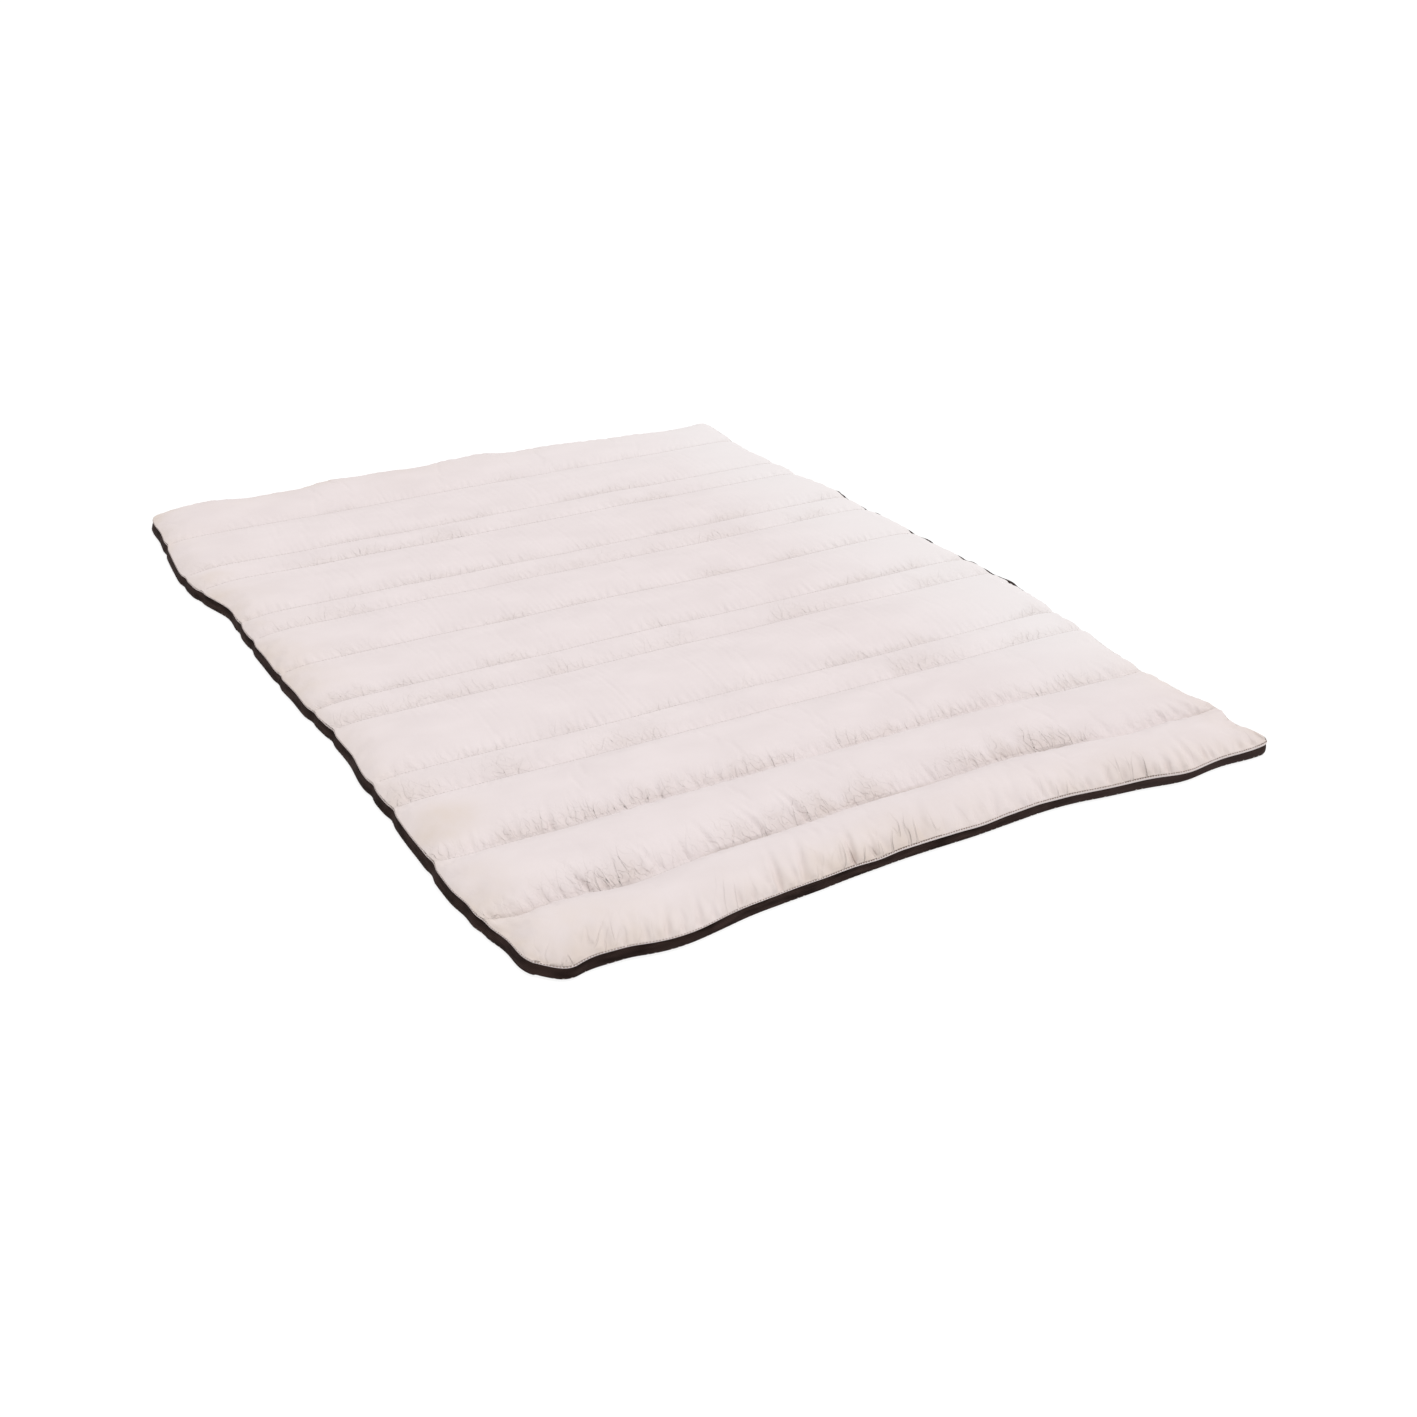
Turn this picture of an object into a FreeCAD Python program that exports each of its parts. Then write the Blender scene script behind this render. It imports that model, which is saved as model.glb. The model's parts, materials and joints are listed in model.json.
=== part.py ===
import FreeCAD, Part
import math
import os
import Sketcher

# A thin channel-quilted futon mattress, in millimetres.
# X runs along the quilting seams, Y from the near end to the far end, Z up.
# The origin is on the floor under the middle of the pad.

# Filled channels, from the near end (-Y) to the far end (+Y).
CHANNEL_WIDTHS = (150, 180, 180, 90, 220, 85, 175, 170, 85, 190, 90, 190, 195)
CHANNEL_COUNT = len(CHANNEL_WIDTHS)
NARROW_LIMIT = 120

# The pad folds along two of its seams, so it has a flap at each end.
NEAR_FOLD_SEAM = 3
FAR_FOLD_SEAM = 10
SECTIONS = {
    "near": (1, NEAR_FOLD_SEAM),
    "middle": (NEAR_FOLD_SEAM + 1, FAR_FOLD_SEAM),
    "far": (FAR_FOLD_SEAM + 1, CHANNEL_COUNT),
}

DRIVING = (
    ("pad_width", 1400),
    ("crown_height", 46),
    ("narrow_crown_height", 38),
    ("band_height", 20),
    ("band_thickness", 1.8),
    ("lip_height", 8),
    ("cover_thickness", 1),
    ("thread_thickness", 0.5),
    ("thread_height", 1),
    ("lip_stitch_rise", 5),
    ("band_stitch_rise", 2),
    ("seam_land", 3),
    ("seam_thread_radius", 0.4),
    ("groove_depth", 4),
    ("groove_run", 12),
    ("end_round_run", 70),
    ("corner_radius", 45),
    ("clearance", 0.3),
    ("cut_margin", 20),
)

doc = FreeCAD.newDocument("futon_mattress")
sheet = doc.addObject("Spreadsheet::Sheet", "Sizes")
shaped = []


# ---- the sheet ----------------------------------------------------------------------------

def fill_sheet():
    """Driving sizes first, then the sizes and places that follow from them."""
    rows = [(name, str(value)) for name, value in DRIVING]
    for number, width in enumerate(CHANNEL_WIDTHS, start=1):
        rows.append((f"channel_{number:02d}", str(width)))
    total = " + ".join(f"channel_{number:02d}" for number in range(1, CHANNEL_COUNT + 1))
    rows.append(("pad_length", f"={total}"))
    rows.append(("seam_height", "=band_height + lip_height"))
    rows.append(("skin_inset", "=thread_thickness"))
    rows.append(("cover_inside_inset", "=skin_inset + cover_thickness"))
    rows.append(("band_inside_inset", "=skin_inset + band_thickness"))
    rows.append(("wadding_inset", "=band_inside_inset + clearance"))
    rows.append(("wadding_drop", "=cover_thickness + clearance"))
    rows.append(("end_round_radius", "=(end_round_run ^ 2 + (crown_height - seam_height) ^ 2)"
                                     " / (2 * (crown_height - seam_height))"))
    previous = "-pad_length / 2"
    for number in range(1, CHANNEL_COUNT):
        rows.append((f"seam_{number:02d}", f"={previous} + channel_{number:02d}"))
        previous = f"seam_{number:02d}"
    for row, (alias, content) in enumerate(rows, start=1):
        sheet.set(f"A{row}", alias)
        sheet.set(f"B{row}", content)
        sheet.setAlias(f"B{row}", alias)
    doc.recompute()


def value(expression):
    """The number that an expression of sheet names stands for."""
    return float(sheet.evalExpression(expression))


def bound(expression):
    """The same expression, written for an object outside the sheet."""
    words = expression.split(" ")
    return " ".join(bound_word(word) for word in words)


def bound_word(word):
    bare = word.lstrip("-(")
    lead = word[: len(word) - len(bare)]
    if bare[:1].isalpha():
        return f"{lead}Sizes.{bare}"
    return word


# ---- sketches -----------------------------------------------------------------------------

def new_body(name):
    body = doc.addObject("PartDesign::Body", name)
    body.Label = name
    return body


def new_sketch(body, name, plane):
    sketch = body.newObject("Sketcher::SketchObject", name)
    origin_plane = next(item for item in body.Origin.OriginFeatures if item.Role == plane)
    sketch.AttachmentSupport = [(origin_plane, "")]
    sketch.MapMode = "FlatFace"
    return sketch


def arc_between(start, end, radius, centre_above):
    """An arc through two points, whose centre lies above or below the line between them."""
    along = end - start
    across = FreeCAD.Vector(-along.y, along.x, 0).normalize()
    if (across.y > 0) != centre_above:
        across = -across
    rise = math.sqrt(radius ** 2 - (along.Length / 2) ** 2)
    centre = (start + end) / 2 + across * rise
    first, last = sorted((start, end), key=lambda point: point.x, reverse=not centre_above)
    angles = [math.atan2(point.y - centre.y, point.x - centre.x) for point in (first, last)]
    circle = Part.Circle(centre, FreeCAD.Vector(0, 0, 1), radius)
    return Part.ArcOfCircle(circle, angles[0], angles[1]), first == start


def draw_outline(sketch, corners, arcs):
    """Draw a closed outline whose corners are bound to the sheet.

    corners are (across, up) pairs of expressions. arcs maps the number of a side, counted
    from its first corner, to (radius expression, centre_above).
    """
    points = [FreeCAD.Vector(value(across), value(up), 0) for across, up in corners]
    ends = []
    for side, start in enumerate(points):
        end = points[(side + 1) % len(points)]
        if side in arcs:
            radius, centre_above = arcs[side]
            curve, forward = arc_between(start, end, value(radius), centre_above)
            index = sketch.addGeometry(curve, False)
            number = sketch.addConstraint(Sketcher.Constraint("Radius", index, value(radius)))
            sketch.setExpression(f"Constraints[{number}]", bound(radius))
            ends.append((index, 1, 2) if forward else (index, 2, 1))
        else:
            index = sketch.addGeometry(Part.LineSegment(start, end), False)
            ends.append((index, 1, 2))
    for side, (index, start_pos, _) in enumerate(ends):
        before, _, end_pos = ends[side - 1]
        sketch.addConstraint(Sketcher.Constraint("Coincident", before, end_pos, index, start_pos))
        for axis, expression, number in zip("XY", corners[side], (points[side].x, points[side].y)):
            size = Sketcher.Constraint(f"Distance{axis}", -1, 1, index, start_pos, number)
            place = sketch.addConstraint(size)
            sketch.setExpression(f"Constraints[{place}]", bound(expression))


def add_pad(body, sketch, length, symmetric=True):
    pad = body.newObject("PartDesign::Pad", "Pad")
    pad.Profile = sketch
    pad.SideType = "Symmetric" if symmetric else "One side"
    pad.setExpression("Length", bound(length))
    return pad


def add_cut(body, sketch, length):
    """Remove the sketch's outlines from the body, half the length each way."""
    cut = body.newObject("PartDesign::Pocket", "Cut")
    cut.Profile = sketch
    cut.SideType = "Symmetric"
    cut.setExpression("Length", bound(length))
    return cut


# ---- where a stretch of channels starts and ends -------------------------------------------

def seam(number):
    return f"seam_{number:02d}"


def low_edge(channel, inset):
    """The near end of a stretch whose first channel is this one."""
    if channel == 1:
        return f"-pad_length / 2 + {inset}"
    if channel - 1 == NEAR_FOLD_SEAM:
        return f"{seam(channel - 1)} - seam_land / 2"
    if channel - 1 == FAR_FOLD_SEAM:
        return f"{seam(channel - 1)} + seam_land / 2 + clearance"
    return f"{seam(channel - 1)} + clearance / 2"


def high_edge(channel, inset):
    """The far end of a stretch whose last channel is this one."""
    if channel == CHANNEL_COUNT:
        return f"pad_length / 2 - {inset}"
    if channel == NEAR_FOLD_SEAM:
        return f"{seam(channel)} - seam_land / 2 - clearance"
    if channel == FAR_FOLD_SEAM:
        return f"{seam(channel)} + seam_land / 2"
    return f"{seam(channel)} - clearance / 2"


def crown_ends(channel, inset):
    """Where the crowned top of one channel starts and ends."""
    low = f"{seam(channel - 1)} + seam_land / 2"
    high = f"{seam(channel)} - seam_land / 2"
    if channel in (1, FAR_FOLD_SEAM + 1):
        low = low_edge(channel, inset)
    if channel in (NEAR_FOLD_SEAM, CHANNEL_COUNT):
        high = high_edge(channel, inset)
    return low, high


def crown_radius(channel, inset):
    """The radius of the arc that rises from the seams to the channel's crown."""
    low, high = crown_ends(channel, inset)
    narrow = CHANNEL_WIDTHS[channel - 1] < NARROW_LIMIT
    rise = f"( {'narrow_crown_height' if narrow else 'crown_height'} - seam_height )"
    chord = f"( {high} - ( {low} ) )"
    return f"{chord} ^ 2 / ( 8 * {rise} ) + {rise} / 2"


# ---- the shapes that the pieces are cut from -----------------------------------------------

def top_profile(first, last, inset, drop):
    """Corners and arcs of the crowned upper side of a stretch of channels."""
    height = f"seam_height - {drop}"
    corners = [(low_edge(first, inset), height)]
    arcs = {}
    for channel in range(first, last + 1):
        low, high = crown_ends(channel, inset)
        if low != corners[-1][0]:
            corners.append((low, height))
        arcs[len(corners) - 1] = (crown_radius(channel, inset), False)
        corners.append((high, height))
    if corners[-1][0] != high_edge(last, inset):
        corners.append((high_edge(last, inset), height))
    return corners, arcs


def base_corners(first, last, inset, base, grooved):
    """Corners of the lower side, far end first, lifted beside the seams if it is grooved."""
    low = low_edge(first, inset)
    high = high_edge(last, inset)
    if not grooved:
        return [(high, base), (low, base)]
    corners = []
    if last != CHANNEL_COUNT:
        corners.append((high, f"{base} + groove_depth"))
        corners.append((f"{high} - groove_run", base))
    else:
        corners.append((high, base))
    if first != 1:
        corners.append((f"{low} + groove_run", base))
        corners.append((low, f"{base} + groove_depth"))
    else:
        corners.append((low, base))
    return corners


def cut_round_ends(body, inset, drop):
    """Let the left and right ends fall in an arc from the crown to the seam height."""
    sketch = new_sketch(body, "EndProfile", "XZ_Plane")
    foot = f"seam_height - {drop}"
    crown = f"crown_height - {drop}"
    over = "crown_height + cut_margin"
    for sign in ("", "-"):
        side = f"{sign}1 * ( pad_width / 2 - {inset} )"
        inner = f"{sign}1 * ( pad_width / 2 - {inset} - end_round_run )"
        outer = f"{sign}1 * ( pad_width / 2 + cut_margin )"
        corners = [(side, foot), (inner, crown), (inner, over), (outer, over), (outer, foot)]
        draw_outline(sketch, corners, {0: ("end_round_radius", False)})
    add_cut(body, sketch, "3 * pad_length")


def cut_round_corners(body, section_end, inset):
    """Round the two plan corners at the near (-1) or far (1) end."""
    sketch = new_sketch(body, "CornerOutline", "XY_Plane")
    end_sign = "-" if section_end < 0 else ""
    radius = f"corner_radius - {inset}"
    end = f"{end_sign}1 * ( pad_length / 2 - {inset} )"
    end_tangent = f"{end_sign}1 * ( pad_length / 2 - corner_radius )"
    end_outer = f"{end_sign}1 * ( pad_length / 2 + cut_margin )"
    for sign in ("", "-"):
        side = f"{sign}1 * ( pad_width / 2 - {inset} )"
        side_tangent = f"{sign}1 * ( pad_width / 2 - corner_radius )"
        side_outer = f"{sign}1 * ( pad_width / 2 + cut_margin )"
        corners = [(side, end_tangent), (side_tangent, end), (side_tangent, end_outer),
                   (side_outer, end_outer), (side_outer, end_tangent)]
        draw_outline(sketch, corners, {0: (radius, section_end < 0)})
    add_cut(body, sketch, "8 * crown_height")


def section_ends(first, last):
    """Which ends of the whole pad a stretch of channels reaches."""
    return [sign for sign, reached in ((-1, first == 1), (1, last == CHANNEL_COUNT)) if reached]


def crowned_block(name, first, last, inset, drop, base, grooved=False):
    """A solid stretch of channels, inset from the pad's sides and dropped from its crowns."""
    body = new_body(name)
    sketch = new_sketch(body, "Channels", "YZ_Plane")
    corners, arcs = top_profile(first, last, inset, drop)
    corners = corners + base_corners(first, last, inset, base, grooved)
    draw_outline(sketch, corners, arcs)
    add_pad(body, sketch, f"pad_width - 2 * {inset}")
    cut_round_ends(body, inset, drop)
    for section_end in section_ends(first, last):
        cut_round_corners(body, section_end, inset)
    return body


def plan_slab(name, first, last, inset, bottom, height):
    """A flat slab with the pad's outline, from one end of a stretch to the other."""
    body = new_body(name)
    sketch = new_sketch(body, "Outline", "XY_Plane")
    side = f"pad_width / 2 - {inset}"
    low = low_edge(first, inset)
    high = high_edge(last, inset)
    corners = [(f"-1 * ( {side} )", low), (side, low), (side, high), (f"-1 * ( {side} )", high)]
    draw_outline(sketch, corners, {})
    add_pad(body, sketch, height, symmetric=False)
    for section_end in section_ends(first, last):
        cut_round_corners(body, section_end, inset)
    body.setExpression(".Placement.Base.z", bound(bottom))
    return body


def cut_piece(name, outer, inner):
    """The finished piece: what is left of the outer solid around the inner one."""
    piece = doc.addObject("Part::Cut", name)
    piece.Label = name
    piece.Base = outer
    piece.Tool = inner
    shaped.append(piece)


# ---- the pieces ---------------------------------------------------------------------------

def make_wadding(channel):
    """The filling of one sewn channel."""
    body = crowned_block(
        f"wadding_{channel:02d}", channel, channel,
        inset="wadding_inset",
        drop="wadding_drop",
        base="cover_thickness",
        grooved=True,
    )
    shaped.append(body)


def make_top_cover(section):
    """The cream upper cover, from the lip above the band over all the crowns."""
    first, last = SECTIONS[section]
    outer = crowned_block(f"top_cover_{section}_outside", first, last,
                          inset="skin_inset", drop="0", base="band_height")
    inner = crowned_block(f"top_cover_{section}_inside", first, last,
                          inset="cover_inside_inset", drop="cover_thickness", base="0")
    cut_piece(f"top_cover_{section}", outer, inner)


def make_bottom_cover(section):
    """The underside cover, lifted into a shallow groove along every seam."""
    first, last = SECTIONS[section]
    inset = "band_inside_inset"
    body = new_body(f"bottom_cover_{section}")
    sketch = new_sketch(body, "Sheet", "YZ_Plane")
    low = low_edge(first, inset)
    high = high_edge(last, inset)
    line = [(low, "0")]
    if first != 1:
        line = [(low, "groove_depth"), (f"{low} + groove_run", "0")]
    for number in range(first, last):
        line.append((f"{seam(number)} - groove_run", "0"))
        line.append((seam(number), "groove_depth"))
        line.append((f"{seam(number)} + groove_run", "0"))
    if last != CHANNEL_COUNT:
        line.append((f"{high} - groove_run", "0"))
        line.append((high, "groove_depth"))
    else:
        line.append((high, "0"))
    upper = [(along, f"{up} + cover_thickness") for along, up in reversed(line)]
    draw_outline(sketch, line + upper, {})
    add_pad(body, sketch, f"pad_width - 2 * {inset}")
    for section_end in section_ends(first, last):
        cut_round_corners(body, section_end, inset)
    shaped.append(body)


def make_wrap(name, section, outer_inset, inner_inset, bottom, height):
    """A strip that follows the pad's sides: the band, or a row of stitches along it."""
    first, last = SECTIONS[section]
    outer = plan_slab(f"{name}_{section}_outside", first, last, outer_inset, bottom, height)
    inner = plan_slab(f"{name}_{section}_inside", first, last, inner_inset,
                      f"{bottom} - cut_margin", f"{height} + 2 * cut_margin")
    cut_piece(f"{name}_{section}", outer, inner)


def make_seam_stitch(number):
    """The two threads of one quilting seam, one on each face of the pad."""
    name = f"seam_stitch_{number:02d}"
    threads = []
    heights = {"upper": "seam_height + seam_thread_radius", "under": "groove_depth / 2"}
    for side, height in heights.items():
        thread = doc.addObject("Part::Cylinder", f"{name}_{side}")
        thread.setExpression("Radius", bound("seam_thread_radius"))
        thread.setExpression("Height", bound("pad_width - 2 * wadding_inset"))
        thread.Placement.Rotation = FreeCAD.Rotation(FreeCAD.Vector(0, 1, 0), 90)
        thread.setExpression(".Placement.Base.x", bound("-pad_width / 2 + wadding_inset"))
        thread.setExpression(".Placement.Base.y", bound(seam(number)))
        thread.setExpression(".Placement.Base.z", bound(height))
        threads.append(thread)
    seam_stitch = doc.addObject("Part::Compound", name)
    seam_stitch.Label = name
    seam_stitch.Links = threads
    shaped.append(seam_stitch)


def check_and_write():
    """Stop on anything that failed, then write one file for each piece."""
    doc.recompute()
    for item in doc.Objects:
        if "Invalid" in item.State or "Error" in item.State:
            raise RuntimeError(f"{item.Label} did not compute: {item.State}")
    for piece in shaped:
        if piece.Shape.isNull() or not piece.Shape.isValid():
            raise RuntimeError(f"{piece.Label} has no valid shape")
    os.makedirs("parts", exist_ok=True)
    for piece in shaped:
        piece.Shape.exportStep(f"parts/{piece.Label}.step")


fill_sheet()
for number in range(1, CHANNEL_COUNT + 1):
    make_wadding(number)
for number in range(1, CHANNEL_COUNT):
    make_seam_stitch(number)
for section in SECTIONS:
    make_top_cover(section)
    make_bottom_cover(section)
    make_wrap("side_band", section, "skin_inset", "band_inside_inset", "0", "band_height")
    make_wrap("lip_stitch", section, "0", "skin_inset",
              "band_height + lip_stitch_rise", "thread_height")
    make_wrap("band_stitch", section, "0", "skin_inset", "band_stitch_rise", "thread_height")
check_and_write()
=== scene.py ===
import json
import math

import bpy
import numpy as np
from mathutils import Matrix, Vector


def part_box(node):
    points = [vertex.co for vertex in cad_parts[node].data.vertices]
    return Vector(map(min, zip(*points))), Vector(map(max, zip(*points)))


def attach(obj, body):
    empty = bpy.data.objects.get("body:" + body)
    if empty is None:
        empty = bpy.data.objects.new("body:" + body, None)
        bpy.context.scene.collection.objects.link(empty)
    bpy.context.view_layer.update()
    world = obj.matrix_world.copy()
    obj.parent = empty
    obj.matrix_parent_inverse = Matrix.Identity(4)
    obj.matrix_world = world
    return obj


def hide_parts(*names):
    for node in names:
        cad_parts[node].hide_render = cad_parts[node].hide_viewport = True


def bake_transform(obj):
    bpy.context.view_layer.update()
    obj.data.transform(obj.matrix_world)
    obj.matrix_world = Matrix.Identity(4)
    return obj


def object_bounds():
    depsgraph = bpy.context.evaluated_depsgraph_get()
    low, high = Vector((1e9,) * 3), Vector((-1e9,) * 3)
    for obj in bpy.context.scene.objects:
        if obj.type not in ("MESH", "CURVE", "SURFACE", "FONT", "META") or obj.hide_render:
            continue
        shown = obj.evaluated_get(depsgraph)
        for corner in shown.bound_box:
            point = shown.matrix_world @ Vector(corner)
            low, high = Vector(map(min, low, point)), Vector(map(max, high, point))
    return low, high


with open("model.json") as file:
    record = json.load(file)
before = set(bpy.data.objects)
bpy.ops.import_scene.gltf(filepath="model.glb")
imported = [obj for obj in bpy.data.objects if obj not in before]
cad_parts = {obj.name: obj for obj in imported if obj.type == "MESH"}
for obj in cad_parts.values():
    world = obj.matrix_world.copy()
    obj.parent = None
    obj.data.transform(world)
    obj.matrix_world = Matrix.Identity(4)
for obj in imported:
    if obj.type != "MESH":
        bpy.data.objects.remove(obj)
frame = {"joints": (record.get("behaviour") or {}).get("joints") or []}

# Looks of the channel-quilted futon mattress, in metres, in the frame's own axes: X along the seams,
# Y from the near end to the far end, Z up. The cover is one grid of cloth whose rows follow the seams.

CAD_LOW, CAD_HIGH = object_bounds()
SCENE = bpy.context.scene

# ---- sizes that come from the frame ----

SEAM_COUNT = 12
SEAM_Y = [sum(corner.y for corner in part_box(f"seam_stitch_{n:02d}")) / 2 for n in range(1, SEAM_COUNT + 1)]
HALF_WIDTH = CAD_HIGH.x
HALF_LENGTH = CAD_HIGH.y
STOPS = np.array([-HALF_LENGTH, *SEAM_Y, HALF_LENGTH])
CROWN = CAD_HIGH.z
BAND_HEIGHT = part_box("side_band_middle")[1].z
FOLD_Y = {joint["name"]: joint["pos_m"][1] for joint in frame["joints"]}
SPLIT_SEAM = 7

# ---- sizes chosen for the cloth ----

SIM_STEP = 0.0060
ROW_STEP = 0.0072
FOLD_REACH = 0.030
FOLD_STEP = 0.0026
NARROW_CHANNEL = 0.12
WIDE_CROWN = CROWN - 0.007
NARROW_CROWN = CROWN - 0.011
STITCH_HEIGHT = BAND_HEIGHT + 0.004
LEFT_RISE = 0.085
RIGHT_RISE = 0.055
# For each channel, near to far: the shares of its width over which it climbs and falls.
CLIMB = (0.33, 0.20, 0.20, 0.45, 0.24, 0.45, 0.32, 0.32, 0.45, 0.32, 0.45, 0.32, 0.32)
FALL = (0.28, 0.30, 0.32, 0.50, 0.60, 0.50, 0.60, 0.60, 0.50, 0.60, 0.50, 0.60, 0.35)
LIP_DEPTH = 0.006
FLOOR_GAP = 0.0005
BAND_INSET = 0.0025
GROOVE_DEPTH = 0.0045
GROOVE_REACH = 0.014
WADDING_TOP_GAP = 0.007
WADDING_LOW_GAP = 0.002
WADDING_SETBACK = 0.005
CORNER_RADII = {(-1, -1): 0.075, (1, -1): 0.020, (-1, 1): 0.034, (1, 1): 0.045}
# How far from each corner the filling starts, and how far further it is full.
CORNER_THINNING = {(-1, -1): (-0.012, 0.10), (1, -1): (0.045, 0.16),
                   (-1, 1): (-0.020, 0.08), (1, 1): (0.010, 0.24)}
# How far the band leans out at its foot along the left side.
BAND_LEAN = 0.007
# How far the band slumps out along the right side, the places where it does so most (Y, half length),
# and its share between them.
BAND_SLUMP = 0.0130
SLUMPS = [(-0.235, 0.040), (-0.112, 0.022), (0.038, 0.036), (0.225, 0.036), (0.385, 0.020)]
SLUMP_BETWEEN = 0.68
# How much higher the far channel lies at its left end, and lower at its right end.
FAR_TILT = 0.005
# How far the first seams sag toward the near end at their right ends: size, place and half length.
RIGHT_SAG = (0.016, -0.76, 0.16)

# Bulges of the outline: (where along the side, how far outward, half length). A near and a
# far one at the same X add up to under 30 mm, because the two folded flaps lie 37 mm apart there.
SIDE_BULGES = {
    "left": [(0.95, 0.008, 0.06), (0.80, 0.012, 0.10), (0.62, 0.031, 0.15), (0.54, 0.004, 0.04),
             (0.41, -0.008, 0.05), (-0.23, -0.0125, 0.14), (-0.50, -0.004, 0.12), (-0.80, -0.005, 0.03),
             (-0.93, -0.019, 0.08)],
    "right": [(-0.92, -0.009, 0.04), (-0.85, 0.012, 0.035), (-0.66, -0.010, 0.12), (-0.24, 0.030, 0.30),
              (0.15, 0.012, 0.14), (0.38, 0.010, 0.08), (0.75, -0.022, 0.17)],
    "near": [(-0.65, 0.016, 0.04), (-0.54, -0.005, 0.03), (-0.465, 0.026, 0.12), (0.0, -0.015, 0.17),
             (0.26, -0.024, 0.14), (0.51, 0.009, 0.06), (0.66, 0.005, 0.05)],
    "far": [(-0.575, 0.019, 0.055), (-0.27, 0.027, 0.07), (-0.16, 0.012, 0.05), (0.00, 0.018, 0.06),
            (0.09, 0.022, 0.05), (0.26, 0.004, 0.05), (0.42, -0.018, 0.08), (0.62, -0.040, 0.12)],
}
# Yellowed patches of the top cover: (x, y, radius, strength).
YELLOWED = [(-0.655, -0.585, 0.060, 0.9), (-0.690, -0.605, 0.045, 0.9), (-0.675, -0.76, 0.060, 0.45),
            (-0.66, 0.56, 0.035, 0.7), (-0.67, 0.30, 0.030, 0.4), (-0.60, -0.93, 0.070, 0.4)]
SIDE_SEEDS = {"left": 1, "right": 2, "near": 3, "far": 4}
SEAM_PULL = 0.0035
# The deepest puckers, placed one by one on three lines: (X, half width, length, slant, depth).
DEEP_PUCKERS = {
    -HALF_LENGTH: [(-0.485, 0.006, 0.035, 0.35, 0.0035), (-0.428, 0.006, 0.035, 0.30, 0.0035),
        (-0.276, 0.006, 0.055, 0.30, 0.0060), (-0.232, 0.007, 0.060, 0.40, 0.0065),
        (-0.140, 0.006, 0.050, 0.35, 0.0050), (-0.100, 0.006, 0.040, 0.30, 0.0040),
        (-0.010, 0.010, 0.055, 0.50, 0.0045), (0.180, 0.008, 0.045, 0.40, 0.0040),
        (0.520, 0.007, 0.055, 0.30, 0.0045)],
    SEAM_Y[0]: [(-0.530, 0.006, 0.040, -0.25, 0.0042), (-0.405, 0.006, 0.045, -0.30, 0.0036),
        (-0.300, 0.006, 0.045, -0.20, 0.0032), (-0.210, 0.006, 0.050, -0.30, 0.0045),
        (-0.130, 0.006, 0.055, -0.20, 0.0050)],
    SEAM_Y[1]: [(-0.560, 0.006, 0.035, 0.25, 0.0035), (-0.500, 0.006, 0.035, 0.25, 0.0035)],
}
# How far the puckers lean toward the right, per metre away from their seam or hem.
SEAM_SLANT = 0.20
HEM_SLANT = 0.38
# How hard each seam gathers the cloth, near to far, and how high its stitches lie.
SEAM_GATHER = (1.0, 0.75, 0.45, 0.50, 0.40, 0.50, 0.50, 0.40, 0.50, 0.40, 0.40, 0.20)
SEAM_HEIGHTS = (0.020, 0.023, 0.028, 0.030, 0.030, 0.032, 0.032, 0.032, 0.033, 0.033, 0.033, 0.032)


def smoothstep(t):
    t = np.clip(t, 0.0, 1.0)
    return t * t * (3 - 2 * t)


def noise_1d(x, spacing, seed):
    """Smooth noise from -1 to 1 whose bumps are about spacing long."""
    knots = np.random.RandomState(seed).uniform(-1, 1, 4096)
    place = np.asarray(x) / spacing + 1000
    low = np.floor(place).astype(int)
    blend = smoothstep(place - low)
    return knots[low] * (1 - blend) + knots[low + 1] * blend


def noise_2d(x, y, spacing_x, spacing_y, seed):
    """Smooth noise from -1 to 1 over a surface."""
    side = 512
    knots = np.random.RandomState(seed).uniform(-1, 1, (side, side))
    px = np.asarray(x) / spacing_x + side / 2
    py = np.asarray(y) / spacing_y + side / 2
    ix = np.floor(px).astype(int)
    iy = np.floor(py).astype(int)
    bx = smoothstep(px - ix)
    by = smoothstep(py - iy)
    low = knots[ix, iy] * (1 - bx) + knots[ix + 1, iy] * bx
    high = knots[ix, iy + 1] * (1 - bx) + knots[ix + 1, iy + 1] * bx
    return low * (1 - by) + high * by


def patches(noise, contrast=0.9):
    """Turn noise into patches: 0 between them and 1 inside them."""
    return smoothstep(0.5 + contrast * noise)


def bell(distance, half):
    """1 where the distance is 0, falling to 0.37 at half."""
    return np.exp(-(distance / half) ** 2)


# ---- the cut of the cloth: a grid that follows the seams ----

def even_columns(share=1):
    """Column places from side to side. share 2 gives twice as many."""
    count = 2 * share * round(HALF_WIDTH / SIM_STEP)
    return np.linspace(-HALF_WIDTH, HALF_WIDTH, count + 1)


def grid_places(columns, rows):
    return np.meshgrid(columns, rows, indexing="ij")


def seam_rows():
    """Row places from end to end, closer together beside the seams, with a row on every seam."""
    rows = [STOPS[0]]
    for low, high in zip(STOPS, STOPS[1:]):
        count = round((high - low) / ROW_STEP)
        share = np.arange(1, count + 1) / count
        share = share - 0.33 * np.sin(2 * np.pi * share) / (2 * np.pi)
        rows.extend(low + (high - low) * share)
        rows[-1] = high
    return np.array(rows)


def fold_rows(rows):
    """The same rows, with more of them where the two ends fold over."""
    zones = [(FOLD_Y["near_fold"] - FOLD_REACH, FOLD_Y["near_fold"]),
             (FOLD_Y["far_fold"], FOLD_Y["far_fold"] + FOLD_REACH)]
    for low, high in zones:
        outside = rows[(rows < low - FOLD_STEP) | (rows > high + FOLD_STEP / 4)]
        zone = np.linspace(low, high, round((high - low) / FOLD_STEP) + 1)
        rows = np.sort(np.concatenate([outside, zone]))
    return rows


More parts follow.
